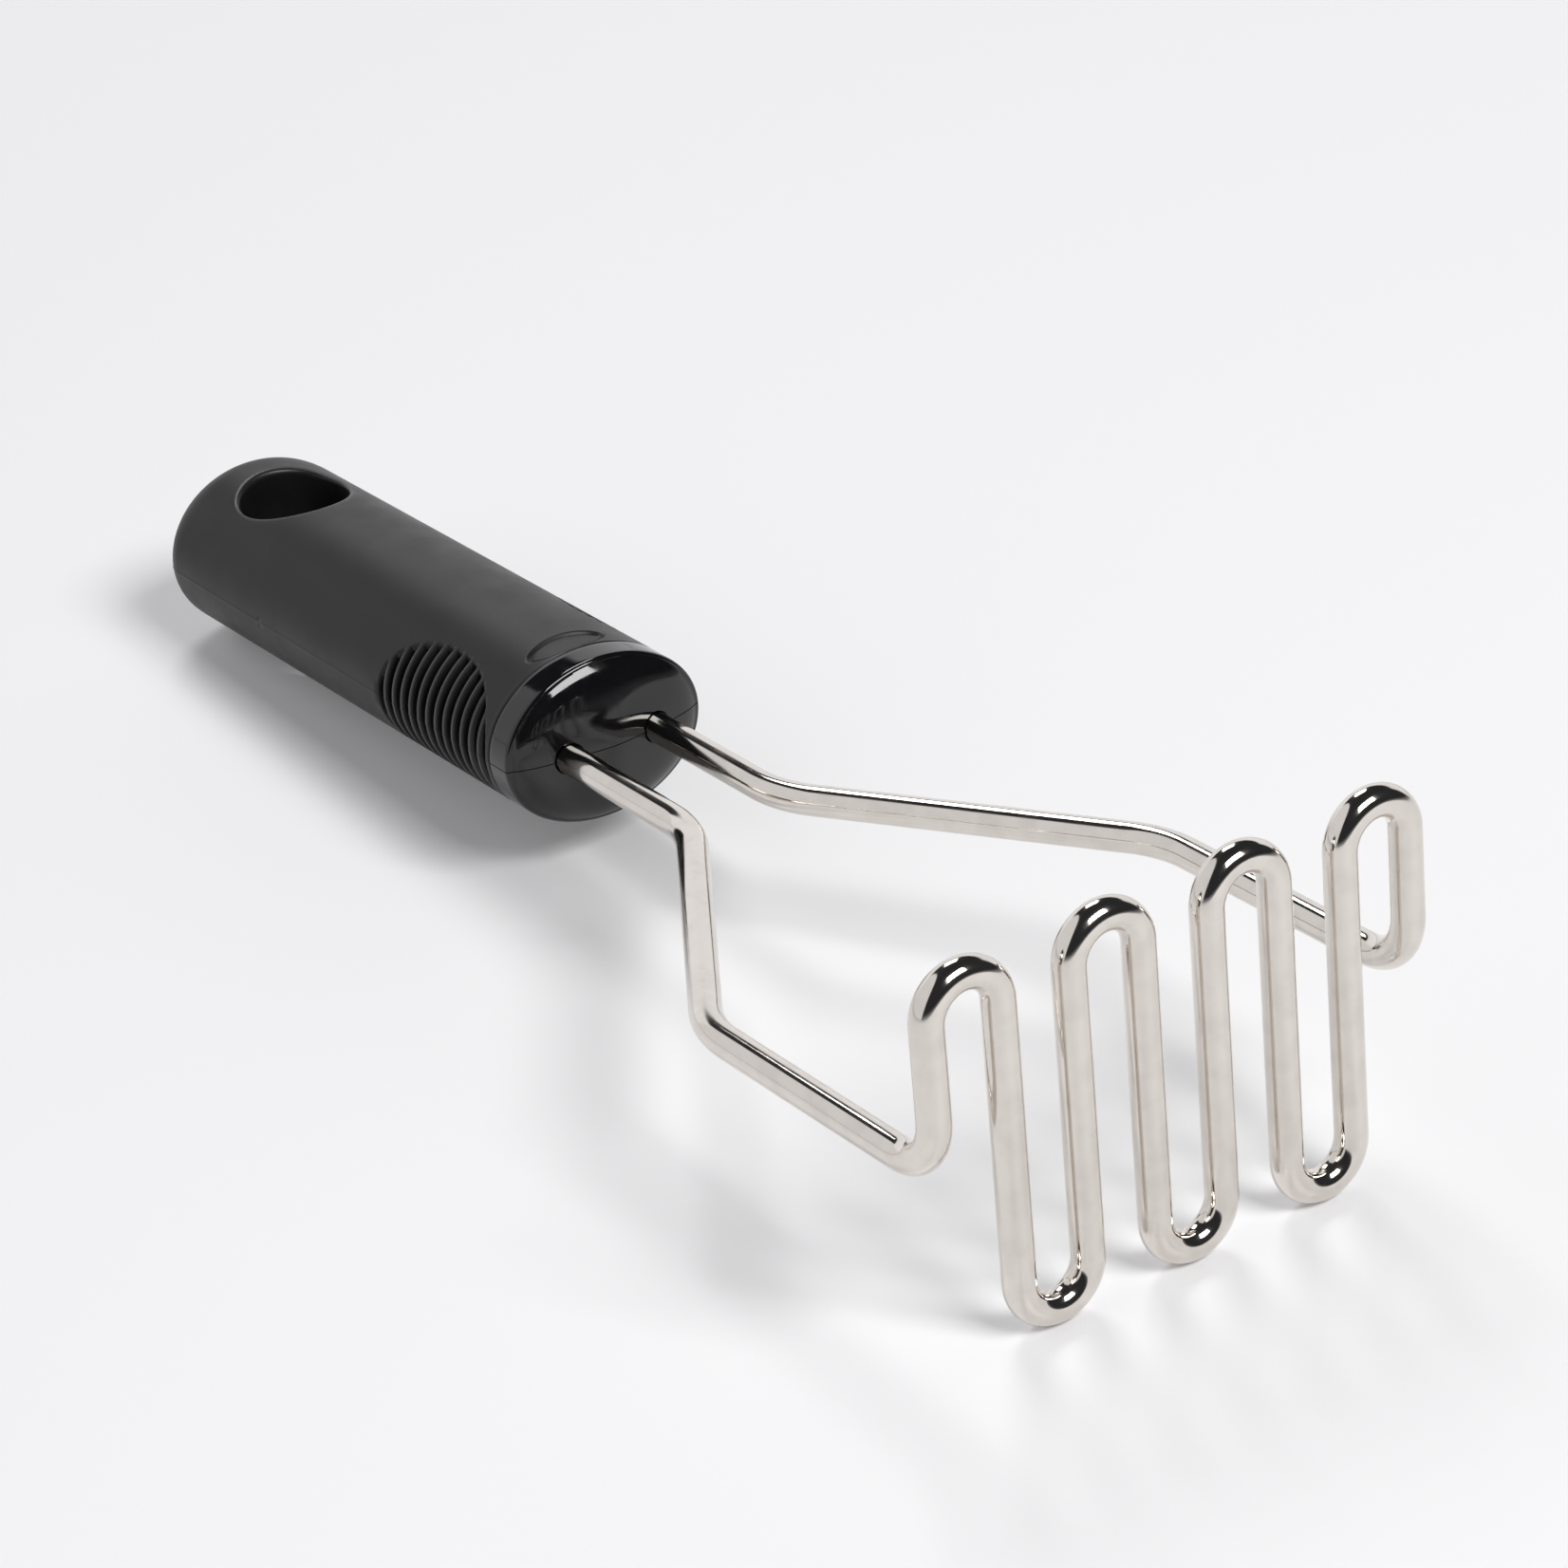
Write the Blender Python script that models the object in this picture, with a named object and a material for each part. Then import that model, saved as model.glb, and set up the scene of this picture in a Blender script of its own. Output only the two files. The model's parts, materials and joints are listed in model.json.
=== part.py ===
"""Hand masher with a wave of bent wire for a head and an oval soft-grip handle.

Four pieces: one steel wire, the two halves of the hard core that clamp its ends and close the
handle's front, and the soft sleeve over the core, which holds the hang hole.

Metres, +Z up. The shapes are drawn in the tool's own frame: +X runs from the handle to the head,
x = 0 is where the wire leaves the handle, and z = 0 is the plane of the two legs. An empty then
turns and lifts them all, so that the handle's end and the lower loops stand on z = 0.
"""

import math

import bmesh
import bpy
import numpy as np
from mathutils import Matrix

# ---- Wire ---------------------------------------------------------------------------------------
WIRE_DIAMETER = 0.0050
LEG_SPACING = 0.0165  # between the two legs' centre lines at the handle
NECK_LENGTH = 0.0350  # parallel stretch out of the handle
FLARE_LENGTH = 0.0536  # stretch where the legs spread to the head's width
REACH_LENGTH = 0.0555  # parallel stretch from the flare to the head
LOOP_PITCH = 0.0119  # between neighbouring uprights of the head
LOOP_COUNT = 4  # loops along the head's upper edge
HEAD_RISE = 0.0290  # from the legs' plane up to the upper loops' centre line
HEAD_DROP = 0.0278  # from the legs' plane down to the lower loops' centre line
LEG_BEND_RADIUS = 0.0200
HEAD_BEND_RADIUS = 0.0090
ANCHOR_DEPTH = 0.0520  # how far back the wire's ends are turned in, inside the core
ANCHOR_TURN = 0.0062  # how far each end is turned in towards the other
ANCHOR_BEND_RADIUS = 0.0042

# ---- Handle -------------------------------------------------------------------------------------
HANDLE_LENGTH = 0.1192  # from the front face's rim to the rear end
RIM_SETBACK = 0.0021  # the rim lies this far behind the wire's exit
FRONT_HALF_WIDTH = 0.0184
REAR_HALF_WIDTH = 0.0180
FRONT_HALF_HEIGHT = 0.0139
REAR_HALF_HEIGHT = 0.0146
END_ROUND_IN_PLAN = 0.0105
END_ROUND_IN_SIDE = 0.0088
BUTT_FLAT_DEPTH = 0.0006  # the rounded end is cut off flat this far in
CAP_WALL_LENGTH = 0.0055  # hard side wall in front of the soft sleeve
CAP_EDGE_ROUND = 0.0007
FACE_CROWN = 0.0034  # the front face's rise from its rim to its middle

# ---- Sleeve on its core -------------------------------------------------------------------------
SLEEVE_WALL = 0.0033
FIT_GAP = 0.0003
HOLE_LENGTH = 0.0202
HOLE_WIDTH = 0.0184
HOLE_END_DISTANCE = 0.0138  # from the rear end to the hole's rear edge
HOLE_TAPER = 0.14  # how much narrower the hole's front half is than its rear half
HOLE_TO_CORE_WALL = 0.0060
GROOVE_COUNT = 13
GROOVE_PITCH = 0.00265
GROOVE_RADIUS = 0.00085
GROOVE_SINK = 0.00035  # the groove's centre line lies this far under the surface
PATCH_SETBACK = 0.0234  # from the rim back to the middle of the grooved patch
PATCH_LENGTH = 0.0340
PATCH_HEIGHT = 0.0272  # measured round the handle's side
PEG_RADIUS = 0.0015
PEG_LENGTH = 0.0030
FIRST_PEG_DEPTH = 0.0150
PEG_SPACING = 0.0200
LAST_PEG_WALL = 0.0080

# ---- Mesh fineness ------------------------------------------------------------------------------
OVAL_SIDES = 48
HOLE_SIDES = 32
END_STEPS = 7
BEND_STEPS = 5
GROOVE_STEPS = 8

# ---- Worked out from the sizes above -------------------------------------------------------------
WIRE_RADIUS = WIRE_DIAMETER / 2
HEAD_X = NECK_LENGTH + FLARE_LENGTH + REACH_LENGTH
HEAD_HALF_WIDTH = LOOP_PITCH * (2 * LOOP_COUNT - 1) / 2
RIM_X = -RIM_SETBACK
REAR_X = RIM_X - HANDLE_LENGTH
SLEEVE_FRONT_X = RIM_X - CAP_WALL_LENGTH
CAP_BACK_X = SLEEVE_FRONT_X + FIT_GAP
HOLE_MIDDLE_X = REAR_X + HOLE_END_DISTANCE + HOLE_LENGTH / 2
CORE_END_X = HOLE_MIDDLE_X + HOLE_LENGTH / 2 + HOLE_TO_CORE_WALL
STEM_HALF_WIDTH = min(FRONT_HALF_WIDTH, REAR_HALF_WIDTH) - SLEEVE_WALL - FIT_GAP
STEM_HALF_HEIGHT = min(FRONT_HALF_HEIGHT, REAR_HALF_HEIGHT) - SLEEVE_WALL - FIT_GAP


def half_sizes(x):
    """Half width and half height of the handle's oval at x, straight-line from rim to rear."""
    share = (RIM_X - x) / HANDLE_LENGTH
    width = FRONT_HALF_WIDTH + (REAR_HALF_WIDTH - FRONT_HALF_WIDTH) * share
    height = FRONT_HALF_HEIGHT + (REAR_HALF_HEIGHT - FRONT_HALF_HEIGHT) * share
    return width, height


def oval_ring(x, half_width, half_height):
    """Points round an upright ellipse that stands across the handle at x."""
    angle = np.linspace(0, 2 * math.pi, OVAL_SIDES, endpoint=False)
    return np.column_stack([np.full(OVAL_SIDES, x), half_width * np.cos(angle), half_height * np.sin(angle)])


def rounded_end_rings():
    """Ovals of the handle's rear end: its plan and its side view are both quarter ellipses."""
    rings = []
    reach = max(END_ROUND_IN_PLAN, END_ROUND_IN_SIDE)
    start = math.acos(1 - BUTT_FLAT_DEPTH / reach)
    for turn in np.linspace(start, math.pi / 2, END_STEPS):
        depth = reach * (1 - math.cos(turn))
        width, height = half_sizes(REAR_X + depth)
        in_plan = max(0.0, 1 - depth / END_ROUND_IN_PLAN)
        in_side = max(0.0, 1 - depth / END_ROUND_IN_SIDE)
        width *= math.sqrt(1 - in_plan**2)
        height *= math.sqrt(1 - in_side**2)
        rings.append(oval_ring(REAR_X + depth, width, height))
    return rings


def bend(before, corner, after, radius):
    """Points of an arc of the given radius, tangent to both straight runs at the corner."""
    to_before = (before - corner) / np.linalg.norm(before - corner)
    to_after = (after - corner) / np.linalg.norm(after - corner)
    half_angle = math.acos(float(np.dot(to_before, to_after))) / 2
    middle = (to_before + to_after) / np.linalg.norm(to_before + to_after)
    centre = corner + middle * radius / math.sin(half_angle)
    across = (to_after - to_before) / np.linalg.norm(to_after - to_before)
    sweep = math.pi / 2 - half_angle
    steps = np.linspace(-sweep, sweep, BEND_STEPS + 1)
    return [centre + radius * (across * math.sin(s) - middle * math.cos(s)) for s in steps]


def bent_route(corners, radii):
    """A route through the corners, each rounded by its own radius; neighbours may share a tangent."""
    corners = [np.array(corner, float) for corner in corners]
    route = [corners[0]]
    for before, corner, after, radius in zip(corners, corners[1:], corners[2:], radii):
        for point in bend(before, corner, after, radius):
            if np.linalg.norm(point - route[-1]) > WIRE_RADIUS / 100:
                route.append(point)
    return route + [corners[-1]]


def leg_corners(side, turn_in):
    """Corners of one leg from its turned-in end to the head, and the bend radius at each."""
    spacing = side * LEG_SPACING / 2
    width = side * HEAD_HALF_WIDTH
    corners = [
        (-ANCHOR_DEPTH, spacing - side * turn_in, 0),
        (-ANCHOR_DEPTH, spacing, 0),
        (NECK_LENGTH, spacing, 0),
        (NECK_LENGTH + FLARE_LENGTH, width, 0),
        (HEAD_X, width, 0),
    ]
    return corners, [ANCHOR_BEND_RADIUS, LEG_BEND_RADIUS, LEG_BEND_RADIUS, HEAD_BEND_RADIUS]


def wire_route():
    """The whole wire: one leg, the head's wave of uprights and half-round loops, the other leg."""
    left, leg_radii = leg_corners(-1, ANCHOR_TURN)
    right, _ = leg_corners(1, ANCHOR_TURN)
    wave = []
    for loop in range(2 * LOOP_COUNT - 1):
        height = HEAD_RISE if loop % 2 == 0 else -HEAD_DROP
        y = -HEAD_HALF_WIDTH + loop * LOOP_PITCH
        wave += [(HEAD_X, y, height), (HEAD_X, y + LOOP_PITCH, height)]
    radii = leg_radii + [LOOP_PITCH / 2] * len(wave) + leg_radii[::-1]
    return bent_route(left + wave + right[::-1], radii)


def resting_matrix(route):
    """Turns the tool until its handle's end and lower loops are level, and stands it on z = 0."""
    heel_x = REAR_X + END_ROUND_IN_SIDE
    heel_drop = half_sizes(heel_x)[1]
    run = HEAD_X - heel_x
    fall = HEAD_DROP - heel_drop
    pitch = math.atan2(fall, run) + math.asin(WIRE_RADIUS / math.hypot(run, fall))
    turn = Matrix.Rotation(-pitch, 4, "Y")
    turn_array = np.array(turn.to_3x3())
    wire = np.array(route) @ turn_array.T
    handle = np.concatenate(rounded_end_rings()) @ turn_array.T
    floor = min(wire[:, 2].min() - WIRE_RADIUS, handle[:, 2].min())
    middle = (wire[:, 0].max() + WIRE_RADIUS + handle[:, 0].min()) / 2
    return Matrix.Translation((-middle, 0, -floor)) @ turn


def material(name, rgb, roughness, metallic=0.0):
    made = bpy.data.materials.new(name)
    made.use_nodes = True
    shader = made.node_tree.nodes["Principled BSDF"]
    shader.inputs["Base Color"].default_value = (*rgb, 1.0)
    shader.inputs["Roughness"].default_value = roughness
    shader.inputs["Metallic"].default_value = metallic
    return made


def add(data, name, group, finish=None):
    """Puts mesh or curve data in the scene, under the empty that holds the resting place."""
    item = bpy.data.objects.new(name, data)
    group.objects.link(item)
    item.parent = bpy.data.objects["resting_place"]
    if finish:
        data.materials.append(finish)
    return item


def mesh_from(name, bm, smooth_angle=35):
    bmesh.ops.recalc_face_normals(bm, faces=bm.faces)
    mesh = bpy.data.meshes.new(name)
    bm.to_mesh(mesh)
    bm.free()
    mesh.shade_smooth()
    mesh.set_sharp_from_angle(angle=math.radians(smooth_angle))
    return mesh


def loft(name, rings):
    """A closed skin over a row of rings with equal numbers of points, with a flat face at each end."""
    bm = bmesh.new()
    rows = [[bm.verts.new(point) for point in ring] for ring in rings]
    for row, following in zip(rows, rows[1:]):
        for i in range(len(row)):
            j = (i + 1) % len(row)
            bm.faces.new((row[i], row[j], following[j], following[i]))
    bm.faces.new(rows[0][::-1])
    bm.faces.new(rows[-1])
    return mesh_from(name, bm)


def tube_curve(name, route, radius, resolution):
    """A round bar along a route, with closed ends."""
    curve = bpy.data.curves.new(name, "CURVE")
    curve.dimensions = "3D"
    curve.bevel_depth = radius
    curve.bevel_resolution = resolution
    curve.use_fill_caps = True
    spline = curve.splines.new("POLY")
    spline.points.add(len(route) - 1)
    for point, place in zip(spline.points, route):
        point.co = (*place, 1)
    return curve


def tube_mesh(name, route, radius, resolution=3):
    """The same bar as a mesh with welded ends, which a Boolean can cut with."""
    item = bpy.data.objects.new(name, tube_curve(name, route, radius, resolution))
    bpy.context.scene.collection.objects.link(item)
    bpy.context.view_layer.update()
    evaluated = item.evaluated_get(bpy.context.evaluated_depsgraph_get())
    mesh = bpy.data.meshes.new_from_object(evaluated)
    bpy.data.objects.remove(item)
    bm = bmesh.new()
    bm.from_mesh(mesh)
    bmesh.ops.remove_doubles(bm, verts=bm.verts, dist=0.00001)
    bpy.data.meshes.remove(mesh)
    return mesh_from(name, bm)


def box_mesh(name, low, high):
    bm = bmesh.new()
    bmesh.ops.create_cube(bm, size=1.0)
    size = np.subtract(high, low)
    middle = np.add(high, low) / 2
    bmesh.ops.transform(bm, matrix=Matrix.Translation(middle) @ Matrix.Diagonal((*size, 1)), verts=bm.verts)
    return mesh_from(name, bm)


def peg_mesh(name, x, radius, bottom, top):
    """An upright round peg on the handle's middle line."""
    bm = bmesh.new()
    bmesh.ops.create_cone(
        bm, cap_ends=True, segments=16, radius1=radius, radius2=radius, depth=top - bottom
    )
    bmesh.ops.translate(bm, vec=(x, 0, (top + bottom) / 2), verts=bm.verts)
    return mesh_from(name, bm)


def boolean(item, mesh, cutters, operation="DIFFERENCE"):
    """Cuts or joins a mesh, which stays in the scene as a hidden wire-frame object."""
    cutter = add(mesh, mesh.name, cutters)
    cutter.hide_render = True
    cutter.display_type = "WIRE"
    modifier = item.modifiers.new(mesh.name, "BOOLEAN")
    modifier.operation = operation
    modifier.object = cutter


def hole_ring(z):
    """The hang hole's egg-shaped outline at height z, with its narrow end towards the front."""
    angle = np.linspace(0, 2 * math.pi, HOLE_SIDES, endpoint=False)
    x = HOLE_MIDDLE_X + HOLE_LENGTH / 2 * np.cos(angle)
    y = HOLE_WIDTH / 2 * np.sin(angle) * (1 - HOLE_TAPER * np.cos(angle))
    return np.column_stack([x, y, np.full(HOLE_SIDES, z)])


def groove_route(x, side):
    """Centre line of one grip groove: an arc of the handle's oval, as long as the patch allows."""
    reach = (x - RIM_X + PATCH_SETBACK) / (PATCH_LENGTH / 2)
    length = PATCH_HEIGHT / 2 * math.sqrt(1 - reach**2)
    width, height = half_sizes(x)
    angle = np.linspace(0, math.pi / 2, 90)
    step = np.hypot(width * np.sin(angle), height * np.cos(angle)) * (angle[1] - angle[0])
    limit = float(np.interp(length, np.cumsum(step) - step, angle))
    turns = np.linspace(-limit, limit, GROOVE_STEPS)
    y = side * (width - GROOVE_SINK) * np.cos(turns)
    z = (height - GROOVE_SINK) * np.sin(turns)
    return np.column_stack([np.full(GROOVE_STEPS, x), y, z])


def grip_sleeve(parts, cutters, finish):
    """Soft sleeve: a solid rear end with the hang hole, and a pocket in front for the core."""
    rings = rounded_end_rings() + [oval_ring(SLEEVE_FRONT_X, *half_sizes(SLEEVE_FRONT_X))]
    sleeve = add(loft("grip_sleeve", rings), "grip_sleeve", parts, finish)
    pocket_ends = (CORE_END_X - FIT_GAP, SLEEVE_FRONT_X + SLEEVE_WALL)
    pocket = [oval_ring(x, STEM_HALF_WIDTH + FIT_GAP, STEM_HALF_HEIGHT + FIT_GAP) for x in pocket_ends]
    boolean(sleeve, loft("cut_core_pocket", pocket), cutters)
    above = REAR_HALF_HEIGHT + FRONT_HALF_HEIGHT
    boolean(sleeve, loft("cut_hang_hole", [hole_ring(-above), hole_ring(above)]), cutters)
    for side, label in ((-1, "right"), (1, "left")):
        for i in range(GROOVE_COUNT):
            x = RIM_X - PATCH_SETBACK + (i - (GROOVE_COUNT - 1) / 2) * GROOVE_PITCH
            route = groove_route(x, side)
            name = f"cut_groove_{label}_{i + 1}"
            boolean(sleeve, tube_mesh(name, route, GROOVE_RADIUS, resolution=1), cutters)
    return sleeve


def core_rings():
    """Ovals of the closed core, from the stem's rear end to the middle of the crowned face."""
    chamfer = FIT_GAP * 4
    rings = [
        oval_ring(CORE_END_X, STEM_HALF_WIDTH - chamfer, STEM_HALF_HEIGHT - chamfer),
        oval_ring(CORE_END_X + chamfer, STEM_HALF_WIDTH, STEM_HALF_HEIGHT),
        oval_ring(CAP_BACK_X, STEM_HALF_WIDTH, STEM_HALF_HEIGHT),
        oval_ring(CAP_BACK_X, *half_sizes(CAP_BACK_X)),
    ]
    width, height = half_sizes(RIM_X)
    for turn in np.linspace(0, math.pi / 2, 4):
        inward = CAP_EDGE_ROUND * (1 - math.cos(turn))
        x = RIM_X - CAP_EDGE_ROUND * (1 - math.sin(turn))
        rings.append(oval_ring(x, width - inward, height - inward))
    edge = 1 - CAP_EDGE_ROUND / height
    for share in (0.92, 0.8, 0.65, 0.45, 0.25, 0.1):
        # The face is a dome that steepens toward its rim: half a parabola and half a fourth power.
        part = share / edge
        x = RIM_X + FACE_CROWN * (1 - (part**2 + part**4) / 2)
        rings.append(oval_ring(x, width * share, height * share))
    return rings


def core_half(name, side, parts, cutters, finish):
    """One half of the core, split at the legs' plane; side is 1 for the upper half."""
    half = add(loft(name, core_rings()), name, parts, finish)
    split = side * FIT_GAP / 2
    far = -side * 2 * REAR_HALF_HEIGHT
    low = (REAR_X, -2 * FRONT_HALF_WIDTH, min(split, far))
    high = (HEAD_X, 2 * FRONT_HALF_WIDTH, max(split, far))
    boolean(half, box_mesh(f"cut_{name}_at_split", low, high), cutters)
    for leg, label in ((-1, "right"), (1, "left")):
        corners, radii = leg_corners(leg, ANCHOR_TURN + FIT_GAP)
        route = bent_route(corners[:2] + [(NECK_LENGTH / 2, corners[1][1], 0)], radii[:1])
        channel = tube_mesh(f"cut_{name}_channel_{label}", route, WIRE_RADIUS + FIT_GAP)
        boolean(half, channel, cutters)
    return half


def peg_places():
    return (-FIRST_PEG_DEPTH, -FIRST_PEG_DEPTH - PEG_SPACING, CORE_END_X + LAST_PEG_WALL)


def build():
    for item in list(bpy.data.objects):
        bpy.data.objects.remove(item)
    parts = bpy.data.collections.new("wire_masher")
    cutters = bpy.data.collections.new("cutters")
    for group in (parts, cutters):
        bpy.context.scene.collection.children.link(group)

    route = wire_route()
    resting_place = bpy.data.objects.new("resting_place", None)
    parts.objects.link(resting_place)
    resting_place.matrix_world = resting_matrix(route)

    steel = material("polished_stainless_steel", (0.62, 0.61, 0.59), 0.12, metallic=1.0)
    soft_grip = material("black_soft_elastomer", (0.022, 0.022, 0.023), 0.5)
    hard_black = material("black_glossy_plastic", (0.012, 0.012, 0.013), 0.12)

    add(tube_curve("masher_wire", route, WIRE_RADIUS, resolution=3), "masher_wire", parts, steel)
    grip_sleeve(parts, cutters, soft_grip)
    upper = core_half("core_upper", 1, parts, cutters, hard_black)
    lower = core_half("core_lower", -1, parts, cutters, hard_black)
    for i, x in enumerate(peg_places()):
        root = -FIT_GAP / 2 - PEG_LENGTH
        peg = peg_mesh(f"join_peg_{i + 1}", x, PEG_RADIUS, root, PEG_LENGTH)
        boolean(lower, peg, cutters, "UNION")
        socket = peg_mesh(f"cut_socket_{i + 1}", x, PEG_RADIUS + FIT_GAP, root, PEG_LENGTH + FIT_GAP)
        boolean(upper, socket, cutters)


build()
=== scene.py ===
"""Looks of the wire masher: polished wire, glossy black core and soft black grip.

Lengths are metres. Every shape is worked out in the tool's own frame, in which +X runs from the
handle to the head, x = 0 is where the wire leaves the handle and z = 0 is the plane of the legs.
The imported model's butt_end mount says where that frame lies, and to_world() puts shapes there.
"""

import json
import math

import bmesh
import bpy
import numpy as np
from mathutils import Matrix, Vector


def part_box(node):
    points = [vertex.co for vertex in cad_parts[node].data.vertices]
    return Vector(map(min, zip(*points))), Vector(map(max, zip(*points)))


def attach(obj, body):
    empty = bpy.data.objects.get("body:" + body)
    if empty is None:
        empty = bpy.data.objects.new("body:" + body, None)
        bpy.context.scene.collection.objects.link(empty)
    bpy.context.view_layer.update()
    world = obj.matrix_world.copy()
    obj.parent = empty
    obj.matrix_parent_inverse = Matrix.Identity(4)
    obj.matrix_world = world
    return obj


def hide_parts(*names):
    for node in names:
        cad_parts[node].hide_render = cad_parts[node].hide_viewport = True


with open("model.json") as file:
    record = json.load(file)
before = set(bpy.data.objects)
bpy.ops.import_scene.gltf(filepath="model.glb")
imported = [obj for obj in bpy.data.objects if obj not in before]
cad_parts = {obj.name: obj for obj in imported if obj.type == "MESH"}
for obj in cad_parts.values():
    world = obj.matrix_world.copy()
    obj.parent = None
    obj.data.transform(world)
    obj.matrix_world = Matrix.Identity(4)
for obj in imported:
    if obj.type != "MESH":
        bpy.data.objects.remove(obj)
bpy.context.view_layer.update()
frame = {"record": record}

MM = 0.001
WELD_DISTANCE = 0.002 * MM

# ---- Wire: the driving sizes of its route --------------------------------------------------------
WIRE_RADIUS = 2.5 * MM
LEG_SPACING = 16.5 * MM
NECK_LENGTH = 35.0 * MM
FLARE_LENGTH = 53.6 * MM
REACH_LENGTH = 55.5 * MM
LOOP_COUNT = 4
HEAD_RISE = 29.0 * MM
HEAD_DROP = 27.8 * MM
LEG_BEND_RADIUS = 20.0 * MM
HEAD_BEND_RADIUS = 9.0 * MM
ANCHOR_DEPTH = 52.0 * MM
ANCHOR_TURN = 6.2 * MM
ANCHOR_BEND_RADIUS = 4.2 * MM

# ---- Handle --------------------------------------------------------------------------------------
HANDLE_LENGTH = 119.2 * MM
RIM_SETBACK = 2.1 * MM
FRONT_HALF_WIDTH = 18.4 * MM
REAR_HALF_WIDTH = 18.0 * MM
FRONT_HALF_HEIGHT = 13.9 * MM
REAR_HALF_HEIGHT = 14.6 * MM
END_ROUND_IN_PLAN = 10.5 * MM
END_ROUND_IN_SIDE = 8.8 * MM
END_POWER = 2.15
BUTT_FLAT_DEPTH = 0.6 * MM
CAP_WALL_LENGTH = 5.5 * MM
CAP_EDGE_ROUND = 0.7 * MM
FACE_CROWN = 3.8 * MM
SLEEVE_WALL = 3.3 * MM
FIT_GAP = 0.3 * MM
HOLE_LENGTH = 20.2 * MM
HOLE_WIDTH = 18.4 * MM
HOLE_END_DISTANCE = 13.8 * MM
HOLE_TAPER = 0.14
HOLE_LIP = 1.3 * MM
HOLE_TO_CORE_WALL = 6.0 * MM
HOLE_TO_BODY = 5.2 * MM
SLEEVE_FRONT_ROUND = 0.45 * MM
PARTING_GAP = 0.08 * MM
CORE_EDGE_BEVEL = 0.16 * MM
CAP_BACK_ROUND = 0.25 * MM
CAP_TO_SLEEVE = 0.15 * MM
EXIT_CLEARANCE = 0.18 * MM
STEM_END_CHAMFER = 1.2 * MM

# ---- Grip details --------------------------------------------------------------------------------
GROOVE_COUNT = 13
GROOVE_PITCH = 2.65 * MM
GROOVE_HALF_WIDTH = 0.85 * MM
GROOVE_DEPTH = 2.0 * MM
GROOVE_FLOOR_SHARE = 0.76
GROOVE_MOUTH_SHARE = 1.10
GROOVE_END_FADE = 0.8 * MM
GROOVE_OVERRUN = 0.25 * MM
PATCH_SETBACK = 23.4 * MM
PATCH_LENGTH = 34.0 * MM
PATCH_HEIGHT = 27.2 * MM
SEAM_HEIGHT = 0.07 * MM
SEAM_WIDTH = 0.22 * MM
OVAL_SETBACK = 9.0 * MM
OVAL_LENGTH = 5.2 * MM
OVAL_WIDTH = 13.4 * MM
OVAL_DEPTH = 0.40 * MM
OVAL_LINE_WIDTH = 1.0 * MM
OVAL_LINE_DEPTH = 0.65 * MM

# ---- Worked out ----------------------------------------------------------------------------------
wire_low, wire_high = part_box("masher_wire")
LOOP_PITCH = (wire_high.y - wire_low.y - 2 * WIRE_RADIUS) / (2 * LOOP_COUNT - 1)
HEAD_X = NECK_LENGTH + FLARE_LENGTH + REACH_LENGTH
HEAD_HALF_WIDTH = LOOP_PITCH * (2 * LOOP_COUNT - 1) / 2
RIM_X = -RIM_SETBACK
REAR_X = RIM_X - HANDLE_LENGTH
TIP_X = REAR_X + BUTT_FLAT_DEPTH
SLEEVE_FRONT_X = RIM_X - CAP_WALL_LENGTH
HOLE_X = REAR_X + HOLE_END_DISTANCE + HOLE_LENGTH / 2
BODY_REAR_X = HOLE_X + HOLE_LENGTH / 2 + HOLE_TO_BODY
CORE_END_X = HOLE_X + HOLE_LENGTH / 2 + HOLE_TO_CORE_WALL
STEM_HALF_WIDTH = REAR_HALF_WIDTH - SLEEVE_WALL - FIT_GAP
STEM_HALF_HEIGHT = FRONT_HALF_HEIGHT - SLEEVE_WALL - FIT_GAP

# ---- The tool's frame in the row frame -----------------------------------------------------------
butt = next(m for m in frame["record"]["mounts"] if m["name"] == "butt_end")
FORWARD = -np.array(butt["axis"], float)
UP = np.array([-FORWARD[2], 0.0, FORWARD[0]])
ACROSS = np.array([0.0, 1.0, 0.0])
START = np.array(butt["pos_m"], float) - FORWARD * TIP_X


def to_world(points):
    """Moves points of the tool's frame to the row frame: start + x forward + y across + z up."""
    points = np.asarray(points, float)
    return START + points[:, :1] * FORWARD + points[:, 1:2] * ACROSS + points[:, 2:3] * UP


# ==== Mesh helpers ================================================================================
def smooth_step(low, high, value):
    """0 below low, 1 above high, and the cubic 3t^2 - 2t^3 between them."""
    share = np.clip((value - low) / (high - low), 0, 1)
    return share * share * (3 - 2 * share)


def grid_quads(rows, columns, first=0):
    """Quads between neighbouring closed rows of a grid whose points are numbered row by row."""
    row, column = np.meshgrid(np.arange(rows - 1), np.arange(columns), indexing="ij")
    this_row, next_row = row * columns, (row + 1) * columns
    beside = (column + 1) % columns
    quads = np.stack([this_row + column, this_row + beside, next_row + beside, next_row + column], -1)
    return quads.reshape(-1, 4) + first


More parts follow.
